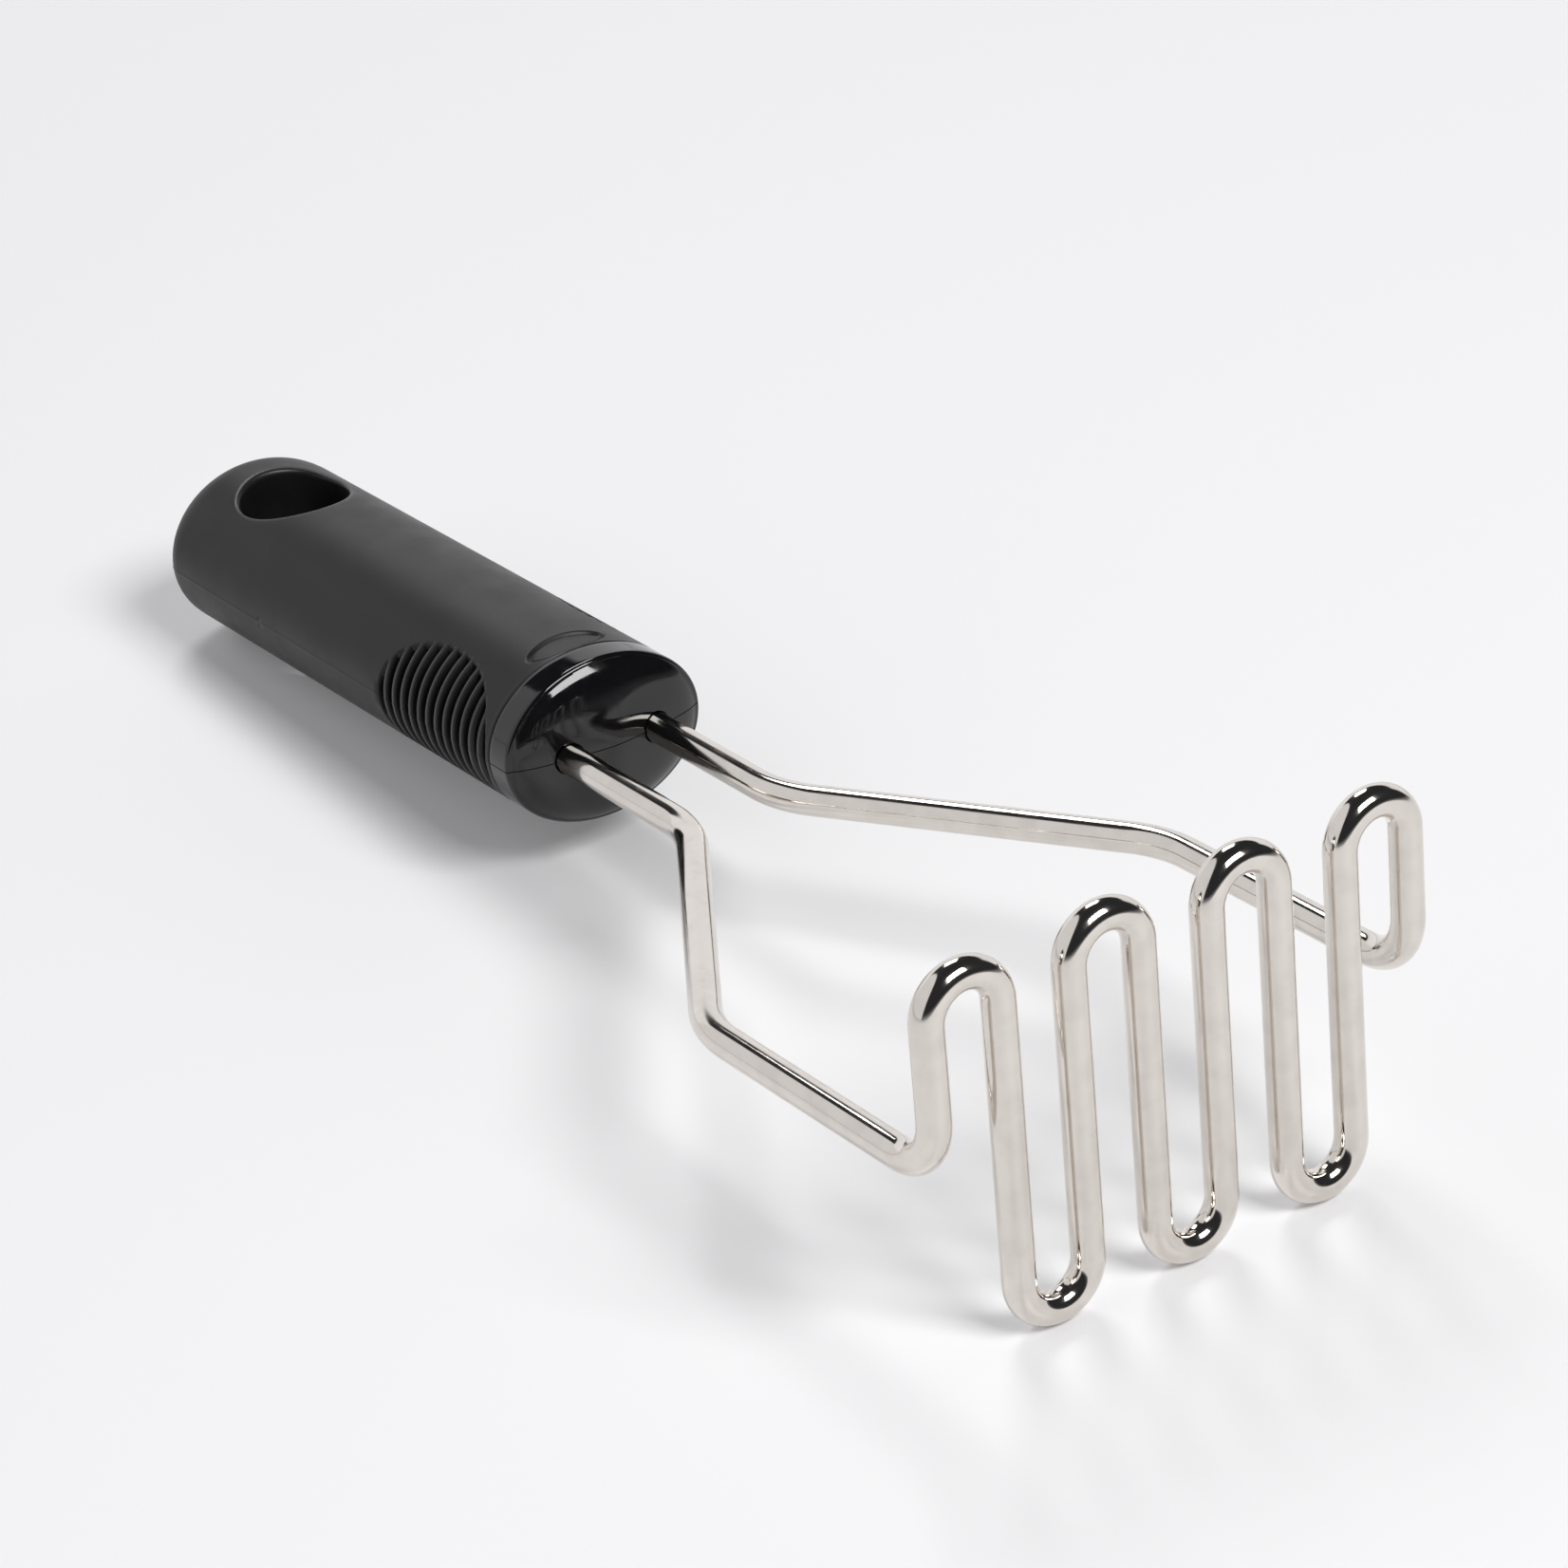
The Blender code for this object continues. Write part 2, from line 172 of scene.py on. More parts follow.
def make_piece(name, points, faces, attributes=None, uv=None, sharp_angle=None):
    """A mesh object at the origin from arrays in the row frame, welded, with its faces outward."""
    mesh = bpy.data.meshes.new(name)
    mesh.from_pydata(points.tolist(), [], [list(map(int, face)) for face in faces])
    if uv is not None:
        layer = mesh.uv_layers.new(name="along")
        corner = np.empty(len(mesh.loops), np.int32)
        mesh.loops.foreach_get("vertex_index", corner)
        layer.data.foreach_set("uv", uv[corner].astype(np.float32).ravel())
    for key, values in (attributes or {}).items():
        mesh.attributes.new(key, "FLOAT", "POINT").data.foreach_set("value", values.astype(np.float32))
    bm = bmesh.new()
    bm.from_mesh(mesh)
    bmesh.ops.remove_doubles(bm, verts=bm.verts, dist=WELD_DISTANCE)
    bmesh.ops.recalc_face_normals(bm, faces=bm.faces)
    bm.to_mesh(mesh)
    bm.free()
    mesh.shade_smooth()
    if sharp_angle:
        mesh.set_sharp_from_angle(angle=math.radians(sharp_angle))
    piece = bpy.data.objects.new(name, mesh)
    bpy.context.scene.collection.objects.link(piece)
    return piece


def applied(piece):
    """Replaces a piece's mesh by what its modifiers make of it, and clears them."""
    bpy.context.view_layer.update()
    evaluated = piece.evaluated_get(bpy.context.evaluated_depsgraph_get())
    mesh = bpy.data.meshes.new_from_object(evaluated)
    piece.modifiers.clear()
    piece.data = mesh
    return piece


# ==== Wire ========================================================================================
ARC_STEPS = 18
WIRE_SIDES = 40
LONGEST_STEP = 4 * MM
WIRE_INSET = 0.01 * MM


def bend(before, corner, after, radius):
    """Points of the arc of the given radius that is tangent to both straight runs at a corner."""
    to_before = (before - corner) / np.linalg.norm(before - corner)
    to_after = (after - corner) / np.linalg.norm(after - corner)
    half_angle = math.acos(float(to_before @ to_after)) / 2
    middle = (to_before + to_after) / np.linalg.norm(to_before + to_after)
    across = (to_after - to_before) / np.linalg.norm(to_after - to_before)
    centre = corner + middle * radius / math.sin(half_angle)
    sweep = np.linspace(half_angle - math.pi / 2, math.pi / 2 - half_angle, ARC_STEPS + 1)[:, None]
    return centre + radius * (across * np.sin(sweep) - middle * np.cos(sweep))


def bent_route(corners, radii):
    """The route through the corners with each rounded by its radius, without repeated points."""
    corners = np.array(corners, float)
    arcs = [bend(a, b, c, r) for a, b, c, r in zip(corners, corners[1:], corners[2:], radii)]
    route = np.concatenate([corners[:1], *arcs, corners[-1:]])
    apart = np.linalg.norm(np.diff(route, axis=0), axis=1) > WIRE_RADIUS / 100
    return route[np.concatenate([[True], apart])]


def leg_corners(side, turn_in=ANCHOR_TURN):
    """Corners of one leg, from its turned-in end to the head."""
    spacing = side * LEG_SPACING / 2
    width = side * HEAD_HALF_WIDTH
    return [
        (-ANCHOR_DEPTH, spacing - side * turn_in, 0),
        (-ANCHOR_DEPTH, spacing, 0),
        (NECK_LENGTH, spacing, 0),
        (NECK_LENGTH + FLARE_LENGTH, width, 0),
        (HEAD_X, width, 0),
    ]


def wire_route():
    """One leg, the wave of uprights joined by half-round loops, and the other leg."""
    wave = []
    for loop in range(2 * LOOP_COUNT - 1):
        height = HEAD_RISE if loop % 2 == 0 else -HEAD_DROP
        y = -HEAD_HALF_WIDTH + loop * LOOP_PITCH
        wave += [(HEAD_X, y, height), (HEAD_X, y + LOOP_PITCH, height)]
    leg_radii = [ANCHOR_BEND_RADIUS, LEG_BEND_RADIUS, LEG_BEND_RADIUS, HEAD_BEND_RADIUS]
    radii = leg_radii + [LOOP_PITCH / 2] * len(wave) + leg_radii[::-1]
    return bent_route(leg_corners(-1) + wave + leg_corners(1)[::-1], radii)


def round_bar(route, radius, sides):
    """Points, faces and UV of a round bar: circles square to the route, closed by flat ends.

    Each circle's first axis is the vector (-1, 0, 1) less its part along the route, which never
    vanishes here, so neighbouring circles turn together. UV is millimetres along and around.
    """
    step = np.diff(route, axis=0)
    step /= np.linalg.norm(step, axis=1, keepdims=True)
    along = np.concatenate([step[:1], step[:-1] + step[1:], step[-1:]])
    along /= np.linalg.norm(along, axis=1, keepdims=True)
    lean = np.array([-1.0, 0.0, 1.0])
    first = lean - (along @ lean)[:, None] * along
    first /= np.linalg.norm(first, axis=1, keepdims=True)
    second = np.cross(along, first)
    angle = np.linspace(0, 2 * math.pi, sides, endpoint=False)
    ring = np.cos(angle)[None, :, None] * first[:, None] + np.sin(angle)[None, :, None] * second[:, None]
    points = (route[:, None] + radius * ring).reshape(-1, 3)
    rows = len(route)
    faces = grid_quads(rows, sides).tolist()
    faces.append(list(range(sides))[::-1])
    faces.append(list(range((rows - 1) * sides, rows * sides)))
    length = np.concatenate([[0], np.cumsum(np.linalg.norm(np.diff(route, axis=0), axis=1))])
    uv = np.stack(np.broadcast_arrays(length[:, None] / MM, angle[None] * radius / MM), -1)
    return points, faces, uv.reshape(-1, 2)


def densified(route, longest):
    """The route with points added on its straight runs, so that no step is longer than asked."""
    length = np.concatenate([[0], np.cumsum(np.linalg.norm(np.diff(route, axis=0), axis=1))])
    counts = np.ceil(np.diff(length) / longest).astype(int)
    stops = [np.linspace(a, b, n, endpoint=False) for a, b, n in zip(length, length[1:], counts)]
    at = np.concatenate([*stops, length[-1:]])
    return np.stack([np.interp(at, length, route[:, axis]) for axis in range(3)], -1)


def masher_wire(finish):
    """The whole polished wire as one bar, a hundredth of a millimetre inside its nominal size."""
    route = densified(wire_route(), LONGEST_STEP)
    points, faces, uv = round_bar(route, WIRE_RADIUS - WIRE_INSET, WIRE_SIDES)
    piece = make_piece("polished_wire", to_world(points), faces, uv=uv, sharp_angle=50)
    piece.data.materials.append(finish)
    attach(piece, "root")
    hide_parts("masher_wire")
    return piece


# ==== Handle surface ==============================================================================
def half_sizes(x):
    """Half width and half height of the handle's oval at x, straight-line from rim to rear."""
    share = (RIM_X - x) / HANDLE_LENGTH
    width = FRONT_HALF_WIDTH + (REAR_HALF_WIDTH - FRONT_HALF_WIDTH) * share
    height = FRONT_HALF_HEIGHT + (REAR_HALF_HEIGHT - FRONT_HALF_HEIGHT) * share
    return width, height


def end_share(x, reach):
    """How much of its full size the rounded end has at x: (1 - (1 - d/reach)^p)^(1/p)."""
    depth = np.clip((x - TIP_X) / (reach - BUTT_FLAT_DEPTH), 0, 1)
    return (1 - (1 - depth) ** END_POWER) ** (1 / END_POWER)


def upper_height(x, y):
    """Height of the upper surface above a point in plan: an ellipse, shrunk by the rounded end."""
    width, height = half_sizes(x)
    width = width * end_share(x, END_ROUND_IN_PLAN) + 1e-9
    height = height * end_share(x, END_ROUND_IN_SIDE)
    return height * np.sqrt(np.clip(1 - (y / width) ** 2, 0, 1))


def quarter_angles(spacing):
    """Oval angles from the side to the top, closer beside the mould seam and over the blank oval."""
    side_length, oval_length = 17 * MM, 10.5 * MM
    seam = np.array([0.0, 0.12, 0.26, 0.5]) * MM / FRONT_HALF_HEIGHT
    oval_start = math.acos(1.08 * OVAL_WIDTH / 2 / FRONT_HALF_WIDTH)
    rest = np.linspace(0.85 * MM / FRONT_HALF_HEIGHT, oval_start, int(side_length / spacing))
    oval = np.linspace(oval_start, math.pi / 2, int(oval_length / spacing))[1:]
    return np.concatenate([seam, rest, oval])


def ring_angles(spacing):
    """Angles once round the oval, mirrored left to right and top to bottom; 0 is the +Y side."""
    quarter = quarter_angles(spacing)
    half = np.concatenate([quarter, math.pi - quarter[-2::-1]])
    return np.concatenate([half, half[1:-1] + math.pi])


def side_arc(angle):
    """Distance round the oval from the nearer side, signed upward, by summing small chords."""
    folded = np.arcsin(np.sin(angle))
    width, height = half_sizes(RIM_X - PATCH_SETBACK)
    fine = np.linspace(0, math.pi / 2, 400)
    chord = np.hypot(width * np.sin(fine), height * np.cos(fine)) * fine[1]
    return np.sign(folded) * np.interp(np.abs(folded), fine, np.cumsum(chord) - chord[0])


def groove_depth(x, arc):
    """Depth of the finger grooves: a flat-bottomed trough across x, ending on an oval outline."""
    centre = RIM_X - PATCH_SETBACK
    nearest = np.clip(np.round((x - centre) / GROOVE_PITCH), -(GROOVE_COUNT // 2), GROOVE_COUNT // 2)
    off = np.abs(x - centre - nearest * GROOVE_PITCH)
    floor_edge, mouth = GROOVE_FLOOR_SHARE * GROOVE_HALF_WIDTH, GROOVE_MOUTH_SHARE * GROOVE_HALF_WIDTH
    trough = 1 - smooth_step(floor_edge, mouth, off)
    reach = np.clip(1 - ((x - centre) / (PATCH_LENGTH / 2)) ** 2, 0, 1)
    limit = PATCH_HEIGHT / 2 * np.sqrt(reach)
    return GROOVE_DEPTH * trough * smooth_step(0, GROOVE_END_FADE, limit - np.abs(arc) + GROOVE_OVERRUN)


def oval_recess(x, y):
    """Depth of the blank oval on the top: a slightly sunk field inside a deeper engraved line.

    The distance from the outline is near enough (r - 1) times the short half length, r being the
    radius in units of the oval's half sizes, evened out by how steeply r climbs there.
    """
    along, across = (x - RIM_X + OVAL_SETBACK) / (OVAL_LENGTH / 2), y / (OVAL_WIDTH / 2)
    radius = np.hypot(along, across) + 1e-9
    climb = np.hypot(along / (OVAL_LENGTH / 2), across / (OVAL_WIDTH / 2)) / radius
    out = (radius - 1) / np.maximum(climb, 1e-9)
    field = OVAL_DEPTH * (1 - smooth_step(-OVAL_LINE_WIDTH / 2, OVAL_LINE_WIDTH / 2, out))
    line = OVAL_LINE_DEPTH * (1 - smooth_step(0.15, 1.0, np.abs(out) / (OVAL_LINE_WIDTH / 2)))
    return np.maximum(field, line)


def body_rows():
    """Stations from the hole's end to the front edge, dense at the grooves and the blank oval."""
    centre = RIM_X - PATCH_SETBACK
    pitches = np.arange(GROOVE_COUNT) - GROOVE_COUNT // 2
    inside = np.array([0.0, 0.35, 0.62, 0.72, 0.80, 0.88, 0.96, 1.05, 1.15]) * GROOVE_HALF_WIDTH
    offsets = np.concatenate([-inside[::-1], inside[1:]])
    grooves = (centre + pitches[:, None] * GROOVE_PITCH + offsets).ravel()
    behind = np.linspace(BODY_REAR_X, grooves[0], 26)[:-1]
    oval_rear = RIM_X - OVAL_SETBACK - OVAL_LENGTH / 2 - 0.6 * MM
    grooves = grooves[grooves < oval_rear]
    front = np.linspace(grooves[-1], SLEEVE_FRONT_X - SLEEVE_FRONT_ROUND, 44)[1:]
    return np.concatenate([behind, grooves, front])


COLUMN_SPACING = 0.42 * MM
RING = ring_angles(COLUMN_SPACING)
RING_HALF = (len(RING) + 2) // 2


def oval_rows(stations, inset):
    """Ovals at the stations, each drawn in by its inset along the oval's own normal."""
    stations = np.asarray(stations, float)[:, None]
    width, height = half_sizes(stations)
    cosine, sine = np.cos(RING)[None], np.sin(RING)[None]
    normal = np.hypot(cosine / width, sine / height)
    y = width * cosine - inset * cosine / width / normal
    z = height * sine - inset * sine / height / normal
    return np.stack(np.broadcast_arrays(stations, y, z), -1)


def sleeve_body():
    """The sleeve's outside from the hole's end to the front edge, with grooves and blank oval."""
    x = body_rows()[:, None]
    width, _ = half_sizes(x)
    arc = side_arc(RING)[None]
    inset = groove_depth(x, arc) + oval_recess(x, width * np.cos(RING)) * (np.sin(RING) > 0)
    return oval_rows(x[:, 0], inset)


def sleeve_front():
    """The rounded front edge, the end face down to the pocket, and the pocket's wall."""
    turn = np.linspace(0, math.pi / 2, 6)[1:]
    edge_x = SLEEVE_FRONT_X - SLEEVE_FRONT_ROUND * (1 - np.sin(turn))
    edge_in = SLEEVE_FRONT_ROUND * (1 - np.cos(turn))
    edge = oval_rows(edge_x, edge_in[:, None])
    pocket_x = np.array([SLEEVE_FRONT_X, CORE_END_X - FIT_GAP])
    width, height = STEM_HALF_WIDTH + FIT_GAP, STEM_HALF_HEIGHT + FIT_GAP
    oval = np.stack([np.zeros_like(RING), width * np.cos(RING), height * np.sin(RING)], -1)
    pocket = oval[None] + pocket_x[:, None, None] * np.array([1.0, 0, 0])
    return np.concatenate([edge, pocket])


def egg(t):
    """The hang hole's outline about its middle: x = A cos t, y = B sin t (1 - k cos t)."""
    return HOLE_LENGTH / 2 * np.cos(t), HOLE_WIDTH / 2 * np.sin(t) * (1 - HOLE_TAPER * np.cos(t))


def hole_outline(bearing):
    """Points of the hang hole's outline at the given bearings from its middle.

    The egg's t at each bearing is read from a fine table of t against bearing.
    """
    t = np.linspace(0, 2 * math.pi, 2000)
    x, y = egg(t)
    table = np.unwrap(np.arctan2(y, x))
    x, y = egg(np.interp(np.mod(bearing, 2 * math.pi), table, t))
    return np.stack([HOLE_X + x, y], -1)


def rear_outline():
    """Outer edge in plan of the sleeve's rear top: the body's first oval, then the side line.

    Returns the points, each one's height, and how strongly its ray bunches up at the end.
    """
    top = RING[:RING_HALF]
    width, height = half_sizes(BODY_REAR_X)
    arc = np.stack([np.full(len(top), BODY_REAR_X), width * np.cos(top)], -1)
    round_x = REAR_X + END_ROUND_IN_PLAN
    side_x = np.linspace(BODY_REAR_X, round_x, 44)[1:-1]
    turn = np.linspace(0, math.pi, 121)
    end_x = round_x - (round_x - TIP_X) * np.sin(turn) ** (2 / END_POWER)
    end_y = -np.sign(np.cos(turn)) * np.abs(np.cos(turn)) ** (2 / END_POWER) * half_sizes(end_x)[0]
    x = np.concatenate([side_x, end_x, side_x[::-1]])
    y = np.concatenate([-half_sizes(side_x)[0], end_y, half_sizes(side_x[::-1])[0]])
    plan = np.concatenate([arc, np.stack([x, y], -1)])
    level = np.concatenate([height * np.sin(top), np.zeros(len(x))])
    bunching = np.concatenate([np.abs(np.cos(top)) ** 4, np.ones(len(x))])
    return plan, level, bunching


def rear_top():
    """Rows from the rear top's outer edge in to the hang hole, over its lip and down to mid-height.

    Each ray runs in plan from the outer edge to the lip, and its height is upper_height(). The lip
    is a quadratic curve from the surface to the wall, with its control point over the wall.
    """
    plan, level, bunching = rear_outline()
    middle = np.array([HOLE_X, 0.0])
    away = plan - middle
    wall = hole_outline(np.arctan2(away[:, 1], away[:, 0]))
    ray = (wall - middle) / np.linalg.norm(wall - middle, axis=1, keepdims=True)
    start = wall + ray * HOLE_LIP
    share = np.concatenate([[0, 0.008, 0.02, 0.04], np.linspace(0.07, 1, 24)])[:, None]
    even = 1 - share
    bunched = np.cos(share * math.pi / 2)
    reach = (1 - bunching) * even + bunching * bunched
    spread = start[None] + reach[:, :, None] * (plan - start)[None]
    rows = np.dstack([spread, upper_height(spread[..., 0], spread[..., 1])])
    rows[0, :, 2] = level
    begin = rows[-1]
    control = np.column_stack([wall, upper_height(wall[:, 0], wall[:, 1])])
    end = control - np.array([0, 0, HOLE_LIP])
    t = np.linspace(0, 1, 10)[1:, None, None]
    lip = (1 - t) ** 2 * begin + 2 * t * (1 - t) * control + t**2 * end
    down = np.linspace(1, 0, 6)[1:, None]
    walls = np.dstack([np.broadcast_to(wall[None], (5, *wall.shape)), down * end[None, :, 2]])
    return np.concatenate([rows, lip, walls])


def seam_ridge(points):
    """Moves points near mid-height outward by the mould seam's small rounded ridge."""
    x, y, z = points.T
    outline = half_sizes(x)[0] * end_share(x, END_ROUND_IN_PLAN)
    outer = np.abs(y) > outline - 0.4 * MM
    nose = np.clip((REAR_X + END_ROUND_IN_PLAN - x) / END_ROUND_IN_PLAN, 0, 1)
    normal = np.stack([-nose, np.sign(y) * np.sqrt(1 - nose**2)], -1)
    ridge = SEAM_HEIGHT * np.exp(-((z / SEAM_WIDTH) ** 2)) * outer
    return points + np.column_stack([normal * ridge[:, None], np.zeros(len(points))])


def grip_sleeve(finish):
    """The soft sleeve as one closed skin: grooved body, pocket, rear top and rear bottom."""
    body = np.concatenate([sleeve_body(), sleeve_front()])
    top = rear_top()
    bottom = top * np.array([1, 1, -1])
    grids = [body, top, bottom]
    points = np.concatenate([g.reshape(-1, 3) for g in grids])
    faces, first = [], 0
    for g in grids:
        faces += grid_quads(g.shape[0], g.shape[1], first).tolist()
        first += g.shape[0] * g.shape[1]
    columns = body.shape[1]
    last_ring = (body.shape[0] - 1) * columns
    faces.append(list(range(last_ring, last_ring + columns)))
    # This mask is real wear for the roughness and a painted sheen and highlight for the colour.
    wear_and_sheen = sleeve_wear_and_sheen(points, body, top)
    piece = make_piece("grip_skin", to_world(seam_ridge(points)), faces, {"wear_and_sheen": wear_and_sheen})
    piece.data.materials.append(finish)
    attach(piece, "root")
    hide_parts("grip_sleeve")
    return piece


# Wear and painted sheen of the hang hole's lip, in rows of the mesh through the hole.
LIP_MIDDLE_ROW = 31
LIP_WEAR_AND_SHEEN_ROWS = 3.5


def sleeve_wear_and_sheen(points, body, top):
    """0 to 1: how much handling has polished each point, on rib crests, the lip and the front edge.
    The grip's colour is also painted lighter by it there: a painted sheen and highlight.
    """
    x, y, z = points.T
    width, height = half_sizes(x)
    radial = np.hypot(y / width, z / height)
    arc = side_arc(np.arctan2(z / height, y / width))
    in_groove = groove_depth(x, arc * 0) > 0
    along = (x - RIM_X + PATCH_SETBACK) / (PATCH_LENGTH / 2)
    patch = 1 - smooth_step(0.9, 1.05, np.hypot(along, arc / (PATCH_HEIGHT / 2)))
    crest = patch * smooth_step(0.985, 1.0, radial) * (1 - 0.5 * in_groove)
    lip = np.zeros(len(points))
    count = top.shape[0] * top.shape[1]
    row = np.repeat(np.arange(top.shape[0]), top.shape[1])
    lip_rows = np.exp(-(((row - LIP_MIDDLE_ROW) / LIP_WEAR_AND_SHEEN_ROWS) ** 2))
    start = body.shape[0] * body.shape[1]
    lip[start : start + count] = lip_rows
    lip[start + count :] = lip_rows
    edge = smooth_step(SLEEVE_FRONT_X - 1.4 * MM, SLEEVE_FRONT_X - 0.3 * MM, x)
    # Painted sheen and highlight: the grip's colour turns lighter by this mask on rib crests, the hole's
    # lip and the front edge.
    return np.clip(0.8 * crest + 0.9 * lip + 0.6 * edge, 0, 1)


# ==== Core ========================================================================================
CAP_ANGLES = 181


def core_profile():
    """Stations of one core half from the stem's end to the face's middle: x and half sizes.

    The rim's arc stops a little short of a quarter turn, where the face takes over. The face stands
    forward by its crown times 1 - (0.74 p^1.35 + 0.26 p^9), p being the share of the way from its
    middle to its edge: a blunt cone that rolls over near the rim and ends in a tiny flat.
    """
    back = SLEEVE_FRONT_X + CAP_TO_SLEEVE
    chamfer = STEM_END_CHAMFER
    stem = [
        (CORE_END_X, STEM_HALF_WIDTH - chamfer, STEM_HALF_HEIGHT - chamfer),
        (CORE_END_X + chamfer, STEM_HALF_WIDTH, STEM_HALF_HEIGHT),
        (back, STEM_HALF_WIDTH, STEM_HALF_HEIGHT),
    ]
    width, height = half_sizes(back)
    turn = np.linspace(0, math.pi / 2, 5)
    out, into = CAP_BACK_ROUND * (1 - np.cos(turn)), CAP_BACK_ROUND * (1 - np.sin(turn))
    shoulder = np.stack([back + out, width - into, height - into], -1)
    wall_x = np.linspace(back + CAP_BACK_ROUND, RIM_X - CAP_EDGE_ROUND, 8)[1:-1]
    wall = [(x, *half_sizes(x)) for x in wall_x]
    width, height = half_sizes(RIM_X)
    turn = np.linspace(0, 0.94 * math.pi / 2, 9)
    out, into = CAP_EDGE_ROUND * (1 - np.sin(turn)), CAP_EDGE_ROUND * (1 - np.cos(turn))
    rim = np.stack([RIM_X - out, width - into, height - into], -1)
    edge_share = rim[-1][2] / height
    part = np.concatenate([np.linspace(1, 0.8, 13)[1:], np.linspace(0.8, 0.012, 30)[1:]])
    dome = 0.74 * part**1.35 + 0.26 * part**9
    crown = RIM_X + FACE_CROWN * (1 - dome) + (rim[-1][0] - RIM_X) * dome
    share = part * edge_share
    face = np.stack([crown, width * share, height * share], -1)
    return np.concatenate([stem, shoulder, wall, rim, face])


def channel_cutter(leg):
    """A bar a little thicker than the wire, along one leg from its turned-in end to past the face."""
    corners = leg_corners(leg, ANCHOR_TURN + FIT_GAP)
    route = bent_route(corners[:2] + [(NECK_LENGTH / 2, corners[1][1], 0)], [ANCHOR_BEND_RADIUS])
    points, faces, _ = round_bar(route, WIRE_RADIUS + EXIT_CLEARANCE, 48)
    return make_piece(f"channel_{leg}", to_world(points), faces)


def core_half(name, node, side, finish):
    """One half of the core: half ovals closed along the parting plane, with round wire channels."""
    profile = core_profile()
    angle = np.linspace(0, math.pi, CAP_ANGLES)
    x = np.broadcast_to(profile[:, :1], (len(profile), CAP_ANGLES))
    y = profile[:, 1:2] * np.cos(angle)
    z = np.maximum(profile[:, 2:3] * np.sin(angle), PARTING_GAP) * side
    points = np.stack([x, y, z], -1)
    rows = len(profile)
    faces = grid_quads(rows, CAP_ANGLES).tolist()
    faces.append(list(range(CAP_ANGLES)))
    faces.append(list(range((rows - 1) * CAP_ANGLES, rows * CAP_ANGLES)))
    piece = make_piece(name, to_world(points.reshape(-1, 3)), faces, sharp_angle=30)
    cutters = [channel_cutter(leg) for leg in (-1, 1)]
    for cutter in cutters:
        cut = piece.modifiers.new("channel", "BOOLEAN")
        cut.object = cutter
    bevel = piece.modifiers.new("edge", "BEVEL")
    bevel.width = CORE_EDGE_BEVEL
    bevel.segments = 2
    bevel.limit_method = "ANGLE"
    bevel.angle_limit = math.radians(40)
    weighted = piece.modifiers.new("normals", "WEIGHTED_NORMAL")
    weighted.keep_sharp = True
    applied(piece)
    for cutter in cutters:
        bpy.data.objects.remove(cutter)
    piece.data.materials.clear()
    piece.data.materials.append(finish)
    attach(piece, "root")
    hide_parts(node)
    return piece


# ==== Materials ===================================================================================
def linear(code):
    """A linear RGBA colour from an sRGB hex code."""
    parts = [int(code[i : i + 2], 16) / 255 for i in (1, 3, 5)]
    return (*[c / 12.92 if c <= 0.04045 else ((c + 0.055) / 1.055) ** 2.4 for c in parts], 1.0)


def add(tree, kind, settings=None, inputs=None):
    """Adds a node: settings are its properties, and inputs are values or the sockets that feed it."""
    made = tree.nodes.new(kind)
    for key, value in (settings or {}).items():
        setattr(made, key, value)
    for key, value in (inputs or {}).items():
        if isinstance(value, bpy.types.NodeSocket):
            tree.links.new(value, made.inputs[key])
        else:
            made.inputs[key].default_value = value
    return made


def new_material(name):
    """An empty material and its Principled shader."""
    made = bpy.data.materials.new(name)
    made.use_nodes = True
    return made, made.node_tree, made.node_tree.nodes["Principled BSDF"]


def ramp(tree, factor, low, high, low_out, high_out):
    """Maps a value between two limits smoothly to a value between two others."""
    return add(tree, "ShaderNodeMapRange", {"interpolation_type": "SMOOTHSTEP"}, {
        "Value": factor, "From Min": low, "From Max": high, "To Min": low_out, "To Max": high_out,
    }).outputs["Result"]


def noise(tree, vector, scale, detail):
    """Fractal noise of the given scale and octaves at a vector, about 0.5 on average."""
    inputs = {"Vector": vector, "Scale": scale, "Detail": detail}
    return add(tree, "ShaderNodeTexNoise", {}, inputs).outputs["Fac"]


def blended(tree, factor, first, second):
    """The first colour where the factor is 0 and the second where it is 1."""
    inputs = {"Factor": factor, 6: first, 7: second}
    return add(tree, "ShaderNodeMix", {"data_type": "RGBA"}, inputs).outputs[2]


def polished_stainless():
    """Stainless 18/8 wire, drawn and then tumble polished: a bright mirror with a slightly warm grey
    body, hair-fine draw lines along the wire and a soft ripple that bends long reflections."""
    made, tree, shader = new_material("stainless_steel_drawn_and_tumble_polished")
    uv = add(tree, "ShaderNodeUVMap", {"uv_map": "along"}).outputs["UV"]
    place = add(tree, "ShaderNodeTexCoord").outputs["Object"]
    # Draw lines: real ones are about 0.02 mm apart; these are 0.25 mm apart so that they show.
    stretched = add(tree, "ShaderNodeMapping", {}, {"Vector": uv, "Scale": (0.06, 4.0, 1.0)}).outputs[0]
    lines = noise(tree, stretched, scale=1.0, detail=3.0)
    ripple = noise(tree, place, scale=110.0, detail=1.0)
    haze = noise(tree, place, scale=260.0, detail=4.0)
    soft = add(tree, "ShaderNodeBump", {}, {"Height": ripple, "Strength": 0.12, "Distance": 0.03 * MM})
    fine = add(tree, "ShaderNodeBump", {}, {
        "Height": lines, "Strength": 0.2, "Distance": 0.004 * MM, "Normal": soft.outputs["Normal"],
    })
    cloud = ramp(tree, haze, 0.35, 0.7, 0.0, 1.0)
    tone = blended(tree, cloud, linear("#dfd9d2"), linear("#d8d2cb"))
    tree.links.new(tone, shader.inputs["Base Color"])
    tree.links.new(ramp(tree, haze, 0.3, 0.75, 0.08, 0.13), shader.inputs["Roughness"])
    tree.links.new(fine.outputs["Normal"], shader.inputs["Normal"])
    shader.inputs["Metallic"].default_value = 1.0
    return made


